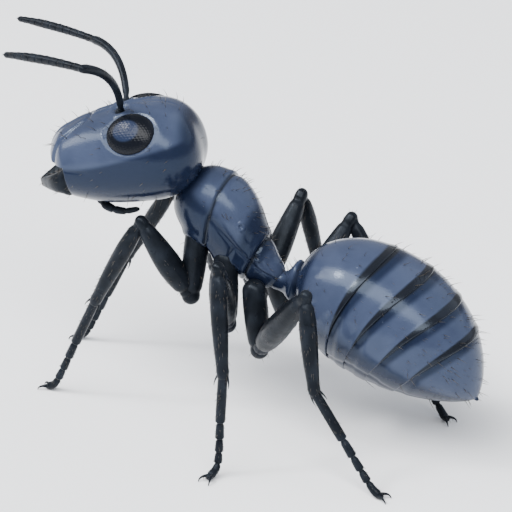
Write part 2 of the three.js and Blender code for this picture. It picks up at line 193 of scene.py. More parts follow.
class Finishes(bpy.types.PropertyGroup):
    plate: colour_of("Plates", 0.0074, 0.0114, 0.0262, "Blue-black of head, mesosoma and gaster")
    # Painted light: the paler blue painted on the tops of the plates, in place of light falling from above.
    sheen: colour_of("Plate sheen", 0.036, 0.047, 0.083, "Paler patches in the plates' blue")
    # The dark of the rims and seams, also used as painted shadow under the gaster's rims, and as the dark of
    # the joint skin.
    rim: colour_of("Rims", 0.006, 0.007, 0.010, "Dark rear rims of the plates")
    limb: colour_of("Limbs", 0.0038, 0.0048, 0.0068, "Near-black of legs, feelers and jaws")
    eye: colour_of("Eyes", 0.004, 0.005, 0.008, "Black of the compound eyes")
    # Painted reflection: the blue painted in the middle of each eye.
    pupil: colour_of("Eye middle", 0.014, 0.021, 0.046, "Blue that shows in the middle of an eye")
    bristle: colour_of("Bristles", 0.05, 0.04, 0.03, "Brown of the bristles")
    floor: colour_of("Floor", 0.86, 0.87, 0.89, "Pale floor")


class Studio(bpy.types.PropertyGroup):
    lens: number_of("Lens", 152.2, "Focal length in millimetres", min=10)
    softbox: number_of("Softbox", 12.0, "Long lamp along the ant's back", min=0)
    spark: number_of("Spark", 1.15, "Small lamp that glints in the eyes", min=0)
    key: number_of("Key light", 1.3, "Broad soft light from above", min=0)
    fill: number_of("Fill light", 0.8, "Soft light from the far side", min=0)
    sky: number_of("Sky", 0.5, "Strength of the even light all round", min=0)


def in_mm(group):
    """A group's lengths in millimetres."""
    lengths = [key for key in group.__annotations__ if group.bl_rna.properties[key].unit == "LENGTH"]
    return SimpleNamespace(**{key: getattr(group, key) / MM for key in lengths})


# ---------------------------------------------------------------- forms


def mix(a, b, t):
    return a + (b - a) * t


def clamp01(t):
    return min(max(t, 0.0), 1.0)


def smooth(t):
    return clamp01(t) ** 2 * (3 - 2 * clamp01(t))


def bump(distance, width):
    """1 at a line, fading out past width on both sides of it."""
    return math.exp(-((distance / width) ** 2))


def nose(u, power):
    """1 along the middle of a form, falling to 0 as u reaches 1."""
    return (1 - clamp01(u) ** power) ** (1 / power)


class Route:
    """A line through space that is walked by its length."""

    def __init__(self, points):
        self.points = [Vector(p) for p in points]
        self.marks = [0.0]
        for a, b in zip(self.points, self.points[1:]):
            self.marks.append(self.marks[-1] + (b - a).length)
        self.length = self.marks[-1]
        before = [self.points[0], *self.points[:-1]]
        after = [*self.points[1:], self.points[-1]]
        self.ways = [(b - a).normalized() for a, b in zip(before, after)]

    def at(self, s):
        """The place at distance s and the direction there, straight on past both ends."""
        if s < 0:
            return self.points[0] + self.ways[0] * s, self.ways[0]
        if s > self.length:
            return self.points[-1] + self.ways[-1] * (s - self.length), self.ways[-1]
        i = min(bisect_right(self.marks, s) - 1, len(self.points) - 2)
        t = (s - self.marks[i]) / (self.marks[i + 1] - self.marks[i])
        place = self.points[i].lerp(self.points[i + 1], t)
        return place, self.ways[i].lerp(self.ways[i + 1], t).normalized()

    def off(self, s, aside, lift, above=UP):
        """The place to the right of the line by aside and over it by lift, at distance s."""
        place, way = self.at(s)
        side = way.cross(above).normalized()
        return place + side * aside + side.cross(way) * lift


def pulled(a, pull, b, steps):
    """The curve that leaves a towards pull and reaches b from there."""
    shares = [i / steps for i in range(steps + 1)]
    return Route([a.lerp(pull, t).lerp(pull.lerp(b, t), t) for t in shares])


def arc(a, b, bow, steps=40):
    """The arc from a to b that bows out by bow at its middle."""
    return pulled(a, (a + b) / 2 + Vector(bow) * 2, b, steps)


def through(points, steps=16):
    """A smooth line through the points."""
    points = [Vector(p) for p in points]
    ends = [points[0] * 2 - points[1], *points, points[-1] * 2 - points[-2]]
    places = [points[0]]
    for before, a, b, after in zip(ends, ends[1:], ends[2:], ends[3:]):
        places += geometry.interpolate_bezier(a, a + (b - before) / 6, b - (after - a) / 6, b, steps)[1:]
    return Route(places)


def pick(*pieces):
    """Selects these pieces and no others, the first as the active one."""
    if bpy.context.mode != "OBJECT":
        bpy.ops.object.mode_set(mode="OBJECT")
    bpy.ops.object.select_all(action="DESELECT")
    for piece in reversed(pieces):
        piece.select_set(True)
        bpy.context.view_layer.objects.active = piece


@contextmanager
def edited(piece):
    """Edit mode with the whole piece selected."""
    pick(piece)
    bpy.ops.object.mode_set(mode="EDIT")
    bpy.ops.mesh.select_all(action="SELECT")
    yield
    bpy.ops.object.mode_set(mode="OBJECT")


def face_out(piece):
    """Merges the doubles of a closed piece and turns its faces outwards."""
    with edited(piece):
        bpy.ops.mesh.remove_doubles(threshold=1e-4)
        bpy.ops.mesh.normals_make_consistent(inside=False)


def cut(piece, place, normal, **more):
    """Adds a row of edges where a plane passes through a form. more goes to the bisection."""
    with edited(piece):
        bpy.ops.mesh.bisect(plane_co=place, plane_no=normal, **more)


def named(name):
    """The active object, under its own name."""
    piece = bpy.context.object
    piece.name = piece.data.name = name
    return piece


def joined(name, *pieces):
    """Several forms as one piece."""
    pick(*pieces)
    bpy.ops.object.join()
    return named(name)


def new_ball(name, around, along):
    pick()
    bpy.ops.mesh.primitive_uv_sphere_add(segments=around, ring_count=along)
    return named(name)


def ball(name, centre, half, around=40, along=24):
    """An ellipsoid at its place."""
    piece = new_ball(name, around, along)
    piece.data.transform(Matrix.LocRotScale(centre, None, half))
    return piece


def oval(size, square=1.0):
    """Section of half sizes size(s): to the side, upwards and downwards."""

    def section(s, turn):
        across, over, under = size(s)
        c, h = math.cos(turn), math.sin(turn)
        aside = math.copysign(abs(c) ** square, c) * across
        lift = math.copysign(abs(h) ** square, h) * (over if h > 0 else under)
        return aside, lift

    return section


def store(piece, label, values):
    """Keeps a value for each point on the mesh."""
    piece.data.attributes.new(label, "FLOAT", "POINT").data.foreach_set("value", values)


def sleeve(name, route, stations, section, around, above=UP, trail=lambda s, turn: 0):
    """A closed form along a route. A ball's rings move out to the stations, each a distance
    along the route and the share of the full section there. trail(s, turn) moves a point on
    along the form. The distance and the turn of each point stay on the mesh as attributes."""
    rings = len(stations) + 1
    piece = new_ball(name, around, rings)
    alongs, turns = [], []
    for vertex in piece.data.vertices:
        ring = round(rings * math.acos(max(-1.0, min(1.0, vertex.co.z))) / math.pi)
        s, share = stations[min(max(ring - 1, 0), rings - 2)]
        if ring in (0, rings):
            share = 0
        turn = math.atan2(vertex.co.y, vertex.co.x)
        s += trail(s, turn) * share
        aside, lift = section(s, turn)
        if share < 1:
            (right, low), (left, high) = section(s, 0.0), section(s, math.pi)
            aside = mix((right + left) / 2, aside, share)
            lift = mix((low + high) / 2, lift, share)
        vertex.co = route.off(s, aside, lift, above)
        alongs.append(s)
        turns.append(turn)
    store(piece, "along", alongs)
    store(piece, "turn", turns)
    face_out(piece)
    return piece


def eased(start, end, count):
    """Full stations from start to end, closer together towards both ends."""
    return [(mix(start, end, (1 - math.cos(math.pi * i / count)) / 2), 1.0) for i in range(count + 1)]


def domed(length, first, last, count, rise=6):
    """Stations of a limb with a round dome past each end."""
    angles = [math.pi / 2 * (i + 1) / (rise + 1) for i in range(rise)]
    before = [(-first * math.sin(a), math.cos(a)) for a in reversed(angles)]
    after = [(length + last * math.sin(a), math.cos(a)) for a in angles]
    return before + [(length * i / count, 1.0) for i in range(count + 1)] + after


def limb(name, route, radius, around=20, count=24):
    """A round limb: radius(t) with t from 0 to 1, domed at both ends."""
    chord = route.points[-1] - route.points[0]
    above = Vector((1, 0, 0)) if abs(chord.z) > 0.7 * chord.length else UP
    section = oval(lambda s: [radius(clamp01(s / route.length))] * 3)
    stations = domed(route.length, radius(0), radius(1), count)
    return sleeve(name, route, stations, section, around, above)


def points_of(piece):
    """Each point of a sleeve with its distance along it and its turn round it."""
    marks = [piece.data.attributes[label].data for label in ("along", "turn")]
    return [(vertex, s.value, turn.value) for vertex, s, turn in zip(piece.data.vertices, *marks)]


def relief(piece, height):
    """Moves each point out along its normal by height(place, along, turn)."""
    piece.data.update()
    normals = [vertex.normal.copy() for vertex in piece.data.vertices]
    for (vertex, s, turn), normal in zip(points_of(piece), normals):
        vertex.co += normal * height(vertex.co, s, turn)


def paint(piece, label, value):
    """Keeps value(place, along, turn) on the mesh for its finish to read."""
    store(piece, label, [clamp01(value(vertex.co, s, turn)) for vertex, s, turn in points_of(piece)])


def settle(piece, finish, *nodes, place=Matrix.Identity(4), sharp=40):
    """Puts a finished form in its place in the row's frame, gives it its finish and hides the imported parts
    it stands for.
    """
    piece.data.transform(TO_ROW @ place)
    pick(piece)
    bpy.ops.object.shade_smooth_by_angle(angle=math.radians(sharp))
    made = finish()
    piece.data.materials.append(made.material)
    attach(piece, "root")
    if nodes:
        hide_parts(*nodes)


# ---------------------------------------------------------------- finishes


class Finish:
    """A node-built material, and the name of the slot that it stands for."""

    def __init__(self, name, slot=None):
        self.slot = slot
        self.colours = bpy.context.scene.ant_finishes
        self.material = bpy.data.materials.new(name)
        self.material.use_nodes = True
        self.tree = self.material.node_tree
        self.shader = self.tree.nodes["Principled BSDF"]
        self.place = self.node("TexCoord", {}, "Object")

    def feed(self, socket, value):
        """Gives a socket a number, a colour of three numbers or another node's output."""
        if isinstance(value, bpy.types.NodeSocket):
            self.tree.links.new(value, socket)
        elif socket.type == "RGBA":
            socket.default_value = (*value, 1)
        else:
            socket.default_value = value

    def node(self, kind, inputs, output, **settings):
        """An output of a new node."""
        made = self.tree.nodes.new("ShaderNode" + kind)
        for key, value in settings.items():
            setattr(made, key, value)
        for key, value in inputs.items():
            self.feed(made.inputs[key], value)
        return made.outputs[output]

    def set(self, **values):
        for key, value in values.items():
            self.feed(self.shader.inputs[key.replace("_", " ")], value)

    def noise(self, grain, detail):
        """Cloudy noise with patches about grain mm across."""
        inputs = {"Scale": 1 / (grain * MM), "Detail": detail, "Vector": self.place}
        return self.node("TexNoise", inputs, "Fac")

    def cells(self, grain):
        """Cells about grain mm across: the distance from each one's middle."""
        return self.node("TexVoronoi", {"Scale": 1 / (grain * MM), "Vector": self.place}, "Distance")

    def mark(self, label):
        """What is kept on the mesh under that label."""
        return self.node("Attribute", {}, "Fac", attribute_name=label)

    def times(self, first, second):
        return self.node("Math", {0: first, 1: second}, "Value", operation="MULTIPLY")

    def ranged(self, value, low, high, to_low, to_high):
        """What runs from low to high, eased to run from to_low to to_high."""
        inputs = {"Value": value, "From Min": low, "From Max": high, "To Min": to_low, "To Max": to_high}
        return self.node("MapRange", inputs, "Result", interpolation_type="SMOOTHSTEP")

    def blend(self, share, first, second):
        """A colour between first and second."""
        return self.node("Mix", {"Factor": share, 6: first, 7: second}, 2, data_type="RGBA")

    def rough(self, height, depth, strength, under=None):
        """Relief of depth mm from a height of 0 to 1, over any relief under it."""
        inputs = {"Distance": depth * MM, "Strength": strength, "Height": height}
        if under:
            inputs["Normal"] = under
        return self.node("Bump", inputs, "Normal")


@cache
def plate_finish():
    """Glossy blue-black cuticle, paler where light is painted, with a fine net of sculpture."""
    made = Finish("blue_black_cuticle", "cuticle")
    # Painted light: the paler blue is painted where the light attribute is, broken into random patches.
    patches = made.ranged(made.noise(1.8, 4), 0.3, 0.7, 0.72, 1)
    share = made.times(made.mark("light"), patches)
    with_painted_light = made.blend(share, made.colours.plate, made.colours.sheen)
    net = made.rough(made.cells(0.075), 0.004, 0.5)
    pits = made.rough(made.ranged(made.cells(0.7), 0.02, 0.08, 0, 1), 0.02, 0.6, net)
    made.set(
        # The band lays the dark rim colour over it: along the seams, at the gaster's rear rims, and as
        # painted shadow under each gaster ring's rim.
        Base_Color=made.blend(made.mark("band"), with_painted_light, made.colours.rim),
        Roughness=made.ranged(made.noise(0.9, 6), 0.3, 0.7, 0.13, 0.22),
        Normal=made.rough(made.noise(1.6, 2), 0.02, 0.12, pits),
        IOR=1.5,
        Specular_IOR_Level=0.24,
        Specular_Tint=(0.66, 0.8, 1),
    )
    return made


@cache
def limb_finish():
    """Near-black cuticle of the limbs, worn paler in patches, with a rougher skin."""
    made = Finish("black_cuticle", "limb")
    worn = [channel * 2.4 for channel in made.colours.limb]
    patches = made.ranged(made.noise(0.8, 5), 0.35, 0.75, 0, 1)
    net = made.rough(made.cells(0.09), 0.006, 0.6)
    made.set(
        Base_Color=made.blend(patches, made.colours.limb, worn),
        Roughness=made.ranged(made.noise(0.5, 6), 0.3, 0.7, 0.26, 0.44),
        Normal=made.rough(made.noise(0.35, 4), 0.02, 0.4, net),
        IOR=1.5,
        Specular_IOR_Level=0.11,
        Specular_Tint=(0.75, 0.86, 1),
    )
    return made


@cache
def eye_finish():
    """Polished black with a painted blue reflection in the middle, where the light seems to fall into the
    facets.
    """
    made = Finish("faceted_eye", "eye")
    made.set(
        Base_Color=made.blend(made.mark("middle"), made.colours.eye, made.colours.pupil),
        Roughness=made.ranged(made.noise(0.3, 3), 0.3, 0.7, 0.1, 0.16),
        IOR=1.5,
        Specular_IOR_Level=0.13,
    )
    return made


@cache
def membrane_finish():
    """Dull folded skin of the joints."""
    made = Finish("joint_membrane", "limb")
    pale = [channel * 1.8 for channel in made.colours.limb]
    made.set(
        Base_Color=made.blend(made.noise(0.25, 5), made.colours.rim, pale),
        Normal=made.rough(made.noise(0.12, 5), 0.03, 0.8),
        Roughness=0.6,
    )
    return made


@cache
def bristle_finish():
    """Brown hair, darker in places."""
    made = Finish("bristle", "limb")
    dark = [channel * 0.5 for channel in made.colours.bristle]
    made.set(Base_Color=made.blend(made.noise(0.5, 2), dark, made.colours.bristle), Roughness=0.35)
    return made


# ---------------------------------------------------------------- head


def head_place():
    """From the head's frame to the ant's."""
    sizes = bpy.context.scene.ant_head
    turn = Matrix.Rotation(sizes.yaw, 4, "Z") @ Matrix.Rotation(-sizes.pitch, 4, "Y")
    return Matrix.Translation(HEAD_BACK) @ turn


def head_size(head, s):
    """Half sizes of the head s mm from its back."""
    t = clamp01(s / head.length)
    face = math.sqrt(1 - 0.6 * clamp01((t - 0.9) / 0.1) ** 2)
    cheeks = 1 - 0.3 * clamp01((t - 0.35) / 0.65) ** 1.8
    brow = 1 - 0.42 * clamp01((t - 0.42) / 0.58) ** 2
    throat = 1 - 0.4 * clamp01((t - 0.5) / 0.5) ** 2
    return (
        head.half_width * nose(1 - t / 0.38, 2.3) * cheeks * face,
        head.above * nose(1 - t / 0.34, 2.2) * brow * face,
        head.below * nose(1 - t / 0.36, 2.1) * throat * face,
    )


def socket_at(head, side):
    """Where a feeler leaves the head."""
    return Vector((-SOCKET.forward, SOCKET.aside * side, head_size(head, SOCKET.forward)[1]))


def eye_matrix(side):
    """From an upright eye at the origin to its place on the head."""
    place = (EYE_AT.x, EYE_AT.y * side, EYE_AT.z)
    return Matrix.Translation(place) @ Matrix.Rotation(side * EYE_TILT, 4, "X")


def head_relief(head):
    """Sockets, ridges, face plate, eye rims and seams of the head."""
    sockets = [socket_at(head, side) for side in SIDES.values()]
    to_eyes = [eye_matrix(side).inverted() for side in SIDES.values()]
    plate_back = head.length - 1.9
    wall = head.length - MOUTH_DEPTH

    def plate_border(forward, aside):
        """Distance inside the border of the face plate, which widens towards the jaws."""
        back = forward - plate_back
        edge = 0.62 + 0.55 * smooth(back / 1.5) - aside
        return -math.log(math.exp(-9 * back) + math.exp(-9 * edge)) / 9

    def height(place, s, turn):
        forward, aside = -place.x, abs(place.y)
        rise = 0.0
        if place.z < MOUTH_ROOF - 0.01 and forward > wall - 0.02:
            return 0.0
        if place.z > 0:
            for socket in sockets:
                d = math.hypot(place.x - socket.x, place.y - socket.y)
                rise -= 0.2 * smooth(1 - d / 0.42)
                rise += 0.05 * bump(d - 0.48, 0.1)
            spread = 0.2 + 0.45 * smooth((SOCKET.forward - 0.1 - forward) / 1.7)
            fade = smooth((forward - 1.7) / 0.8) * smooth((plate_back - forward) / 0.4)
            rise += 0.08 * bump(aside - spread, 0.085) * fade
            rise -= 0.035 * bump(aside, 0.07) * smooth((forward - 0.8) / 0.5) * smooth((3.3 - forward) / 0.5)
            border = plate_border(forward, aside)
            rise += 0.05 * smooth(border / 0.18) - 0.06 * bump(border, 0.07)
            rise += 0.06 * bump(aside, 0.13) * smooth(border / 0.3)
        else:
            rise -= 0.05 * bump(aside, 0.08) * smooth((forward - 1.2) / 0.5)
        rise -= 0.04 * bump(place.z + 0.5 - 0.12 * forward, 0.08) * smooth((forward - 5.0) / 0.5)
        for to_eye in to_eyes:
            q = to_eye @ place
            e = math.sqrt(sum((q[i] / EYE_HALF[i]) ** 2 for i in range(3)))
            rise += 0.008 * bump(e - 1.3, 0.16) - 0.06 * smooth((1.2 - e) / 0.2)
        return rise

    return height


class ANT_OT_head(bpy.types.Operator):
    """Models the head capsule: face plate, ridges, feeler sockets, eye rims and mouth"""

    bl_idname = "ant.head"
    bl_label = "Head"

    def execute(self, context):
        head = in_mm(context.scene.ant_head)
        front = head.length
        wall = front - MOUTH_DEPTH
        stations = eased(0.01, front, 170)
        stations += [(front + 0.02, 0.86), (front + 0.04, 0.66), (front + 0.05, 0.4), (front + 0.05, 0.15)]
        section = oval(lambda s: head_size(head, s), 0.93)
        piece = sleeve("head_capsule", Route([(0, 0, 0), (-front, 0, 0)]), stations, section, around=232)
        cut(piece, (0, 0, MOUTH_ROOF), UP)
        cut(piece, (0, 0, MOUTH_ROOF - 0.03), UP)
        cut(piece, (-wall, 0, 0), (1, 0, 0))
        for vertex in piece.data.vertices:
            forward, aside, z = -vertex.co.x, abs(vertex.co.y), vertex.co.z
            if z < MOUTH_ROOF - 0.015 and forward > wall:
                forward = wall
            lobe = 0.22 * smooth((forward - front + 0.9) / 0.9) * (1 - clamp01(aside / 1.3) ** 2)
            dent = 0.14 * bump(aside, 0.9) * smooth((1.2 - forward) / 1.2)
            vertex.co.x = -forward - dent - (lobe if z > MOUTH_ROOF - 0.015 else 0)
        relief(piece, head_relief(head))

        # Painted light: the head's upper part is painted paler, as if lit from above, down to a border that
        # is lower towards the face.
        def light(place, s, turn):
            border = 0.85 - 0.55 * smooth((-place.x - 1) / 5)
            return smooth((place.z - border + 0.12) / 0.25) * smooth((-place.x - 0.45) / 0.5)

        paint(piece, "light", light)
        settle(piece, plate_finish, "head", place=head_place(), sharp=70)
        return {"FINISHED"}


class ANT_OT_eyes(bpy.types.Operator):
    """Models the two compound eyes, facet by facet"""

    bl_idname = "ant.eyes"
    bl_label = "Eyes"

    def execute(self, context):
        facet_relief = context.scene.ant_head.facet_relief
        pick()
        bpy.ops.mesh.primitive_ico_sphere_add(subdivisions=4, radius=1)
        seed = context.object
        middles = [vertex.co.copy() for vertex in seed.data.vertices]
        reach = min((middles[a] - middles[b]).length for a, b in seed.data.edge_keys) * 0.55
        bpy.data.objects.remove(seed)
        facets = kdtree.KDTree(len(middles))
        for index, middle in enumerate(middles):
            facets.insert(middle, index)
        facets.balance()
        for label, side in SIDES.items():
            pick()
            bpy.ops.mesh.primitive_ico_sphere_add(subdivisions=7, radius=1)
            piece = named("compound_eye_" + label)
            cut(piece, (0, -0.3 * side, 0), (0, -side, 0), use_fill=True, clear_outer=True)
            blue = []
            for vertex in piece.data.vertices:
                if vertex.co.y * side > -0.29:
                    distance = facets.find(vertex.co)[2]
                    vertex.co *= 1 + facet_relief * (1 - (distance / reach) ** 2)
                # Painted reflection: the blue patch a little forward of and above the eye's middle.
                blue.append(smooth((0.6 - math.hypot(vertex.co.x + 0.12, vertex.co.z - 0.05)) / 0.14))
                vertex.co *= EYE_HALF
            store(piece, "middle", blue)
            settle(piece, eye_finish, "eye_" + label, place=head_place() @ eye_matrix(side), sharp=80)
        return {"FINISHED"}


def jaw_section(head, side):
    """Section of a closed jaw, which is thin along its teeth."""

    def section(s, turn):
        u = clamp01(s / head.jaw_length)
        v = 1 - u
        outer = head.jaw_base * (v**3 + 3.3 * v * v * u + 1.86 * v * u * u) + 0.12 * u**3
        inner = 0.55 * smooth((0.22 - u) / 0.22) - 0.07
        tooth = v / 0.8 * TEETH
        tip = abs((tooth % 1) - 0.5) * 2 if 0 < tooth < TEETH else 1
        notch = (0.15 + 0.12 * u) * (1 - tip)
        c, h = math.cos(turn), math.sin(turn)
        weight = (1 + c * side) / 2
        y = mix(inner, max(outer, inner + 0.08), weight) + notch * (1 - weight) ** 5
        thick = mix(0.74, 0.22, u**0.8) * (0.07 + 0.93 * smooth(weight * 1.25))
        hang = -0.56 - 0.1 * s - 0.05 * s * s + (0.05 * side - 0.1) * (1 - weight) ** 2
        return side * y, math.copysign(abs(h) ** 0.8, h) * thick + hang

    return section


class ANT_OT_jaws(bpy.types.Operator):
    """Models the two toothed jaws and the soft mouthparts between and under them"""

    bl_idname = "ant.jaws"
    bl_label = "Jaws"

    def execute(self, context):
        head = in_mm(context.scene.ant_head)
        hinge = head.length - MOUTH_DEPTH + 0.25
        root = -0.24
        axis = Route([(-hinge, 0, 0), (-hinge - head.jaw_length, 0, 0)])
        stations = [(root, 0.5), (root, 1.0)] + [(head.jaw_length * i / 130, 1.0) for i in range(131)]
        for label, side in SIDES.items():
            piece = sleeve("jaw_" + label, axis, stations, jaw_section(head, side), around=72)
            settle(piece, limb_finish, "mandible_" + label, place=head_place(), sharp=50)

        front = head.length
        parts = [
            ball("upper_lip", (-front + 0.5, 0, -0.1), (0.42, 1.25, 0.5)),
            ball("tongue", (-front + 0.55, 0, -1.12), (0.62, 0.5, 0.36)),
        ]
        for side in SIDES.values():
            parts.append(ball("maxilla", (-front + 0.75, 0.62 * side, -1.05), (0.7, 0.32, 0.36)))
        settle(joined("mouthparts", *parts), membrane_finish, place=head_place())
        return {"FINISHED"}


class ANT_OT_palps(bpy.types.Operator):
    """Models the jointed palps that fold back under the mouth"""

    bl_idname = "ant.palps"
    bl_label = "Palps"

    def execute(self, context):
        def radius(t):
            u = (t * PALP_JOINTS) % 1
            return mix(0.24, 0.12, t**2) * (0.78 + 0.22 * smooth(u / 0.3) * smooth((1.02 - u) / 0.1))

        for label, side in SIDES.items():
            x, y, z = PALP_ROOT
            route = through([(x + bend[0], (y + bend[1]) * side, z + bend[2]) for bend in PALP_BENDS])
            piece = limb("feeding_palp_" + label, route, radius, around=18, count=70)
            settle(piece, limb_finish, "palp_" + label, place=head_place())
        return {"FINISHED"}


class ANT_OT_feelers(bpy.types.Operator):
    """Models the elbowed feelers: a long scape and eleven joints"""

    bl_idname = "ant.feelers"
    bl_label = "Feelers"

    def execute(self, context):
        head = in_mm(context.scene.ant_head)
        sizes = in_mm(context.scene.ant_limbs)

        def scape(t):
            neck = 1 - 0.25 * bump(t - 0.1, 0.03)
            return sizes.scape * mix(0.8, 1.08, t) * neck * (1 - 0.12 * smooth((t - 0.97) / 0.03))

        def flagellum(t):
            joint = t * FEELER_JOINTS
            u = joint % 1
            waist = mix(0.72, 1.0, smooth(u / 0.14)) if 0.5 < joint < FEELER_JOINTS - 0.1 else 1
            swell = mix(0.95, 1.05, u) * mix(0.86, 1.0, smooth((1 - u) / 0.06))
            taper = mix(0.86, 1.0, smooth(t / 0.5)) * (1 - 0.3 * smooth((t - 0.62) / 0.35))
            point = 1 - 0.72 * smooth((t - 0.955) / 0.045)
            return sizes.flagellum * waist * swell * taper * point

        for label, side in SIDES.items():
            elbow = ELBOWS[label]
            socket = head_place() @ (socket_at(head, side) - UP * SOCKET.sink)
            rod = limb("rod", arc(socket, elbow, (0.35, 0.2, 0.5)), scape, around=22, count=64)
            bulb = ball("bulb", socket + (elbow - socket).normalized() * 0.1, (0.24, 0.24, 0.24))
            settle(joined("scape_" + label, rod, bulb), limb_finish, f"antenna_{label}_scape")
            whip = arc(elbow, FEELER_TIPS[label], (0, 0, 0.1))
            piece = limb("flagellum_" + label, whip, flagellum, around=20, count=330)
            settle(piece, limb_finish, f"antenna_{label}_flagellum")
        return {"FINISHED"}


# ---------------------------------------------------------------- body


def behind(seam, place):
    """How far a place lies behind a seam of the mesosoma."""
    middle, degrees = SEAMS[seam]
    lean = math.radians(degrees)
    return (place - middle).dot(Vector((math.cos(lean), 0, math.sin(lean))))


class ANT_OT_mesosoma(bpy.types.Operator):
    """Models the three plates of the mesosoma, with the seams of their sides"""

    bl_idname = "ant.mesosoma"
    bl_label = "Mesosoma"

    def execute(self, context):
        body = in_mm(context.scene.ant_body)
        route = through(THORAX_SPINE)

        def size(s):
            t = s / route.length
            ends = nose(abs(2 * t - 1), 2.6)
            slim = 1 - 0.44 * smooth((t - 0.22) / 0.68)
            below = body.thorax_below * ends * (slim + 0.04)
            return body.thorax_width * ends * slim, body.thorax_above * ends * slim, below

        section = oval(size)
        spiracles = []
        for share, aside in ((0.76, 0.95), (0.5, 0.8)):
            for side in SIDES.values():
                s = route.length * share
                spiracles.append(route.off(s, *section(s, math.pi / 2 - aside * side)))
        hips = [joints[0].lerp(joints[1], 0.3) for joints in LEGS.values()]

        def height(place, s, turn):
            level = math.sin(turn)
            rise = 0.0
            for seam in range(len(SEAMS)):
                d = behind(seam, place)
                rise -= 0.1 * bump(d, 0.07) + 0.04 * bump(d - 0.12, 0.14)
                rise += 0.03 * bump(d + 0.24, 0.16)
            first = behind(0, place)
            rise -= 0.06 * bump(level - 0.28, 0.06) * smooth(first / 0.2)
            rise -= 0.06 * bump(first - 1.25 - 0.5 * level, 0.08) * smooth((0.3 - level) / 0.15)
            for hip in hips:
                rise += 0.1 * bump((place - hip).length - 0.95, 0.22)
            for spot in spiracles:
                d = (place - spot).length
                rise += 0.04 * bump(d - 0.17, 0.06) - 0.06 * smooth(1 - d / 0.14)
            return rise

        # Paints a thin dark line along each seam.
        def band(place, s, turn):
            return max(bump(behind(seam, place) + 0.01, 0.065) for seam in range(len(SEAMS)))

        # Painted light: paler patches painted on the top of the front plates and of the plate behind the
        # second seam, as if lit from above.
        def light(place, s, turn):
            level = math.sin(turn)
            past = behind(1, place)
            fore = smooth((level - 0.28) / 0.26) * smooth((s - 0.6) / 0.5)
            fore *= smooth((-0.35 - level * 0.6 - past) / 0.5)
            return max(fore, smooth((level - 0.15) / 0.3) * smooth((past - 0.2) / 0.3))

        stations = eased(0.02, route.length - 0.02, 190)
        piece = sleeve("mesosoma_plates", route, stations, section, around=210)
        relief(piece, height)
        paint(piece, "band", band)
        paint(piece, "light", light)
        settle(piece, plate_finish, "pronotum", "mesothorax", "propodeum", sharp=180)
        return {"FINISHED"}


class ANT_OT_neck(bpy.types.Operator):
    """Models the folded neck between head and mesosoma"""

    bl_idname = "ant.neck"
    bl_label = "Neck"

    def execute(self, context):
        def radius(t):
            return 0.7 + 0.035 * math.sin(t * 22)

        piece = limb("neck_folds", Route(NECK_ENDS), radius, around=40, count=60)
        settle(piece, membrane_finish, "neck")
        return {"FINISHED"}


class ANT_OT_waist(bpy.types.Operator):
    """Models the waist: a short stalk with an upright scale"""

    bl_idname = "ant.waist"
    bl_label = "Waist"

    def execute(self, context):
        body = in_mm(context.scene.ant_body)
        route = Route(WAIST_ENDS)
        crest = 0.95

        def size(s):
            scale = bump(s - crest, 0.36)
            return 0.48 + 0.36 * scale, 0.46 + (body.scale_height - 0.46) * scale, 0.5 + 0.28 * scale

        piece = sleeve("waist_scale", route, domed(route.length, 0.4, 0.4, 60), oval(size), around=64)
        # Painted light: the top of the scale is painted paler, as if lit from above.
        paint(piece, "light", lambda place, s, turn: 0.7 * smooth((math.sin(turn) - 0.2) / 0.5))
        settle(piece, plate_finish, "petiole", sharp=180)
        return {"FINISHED"}


def gaster_route(steps):
    front, crown, tip = GASTER_SPINE
    return arc(front, tip, (crown - (front + tip) / 2) / 2, steps)


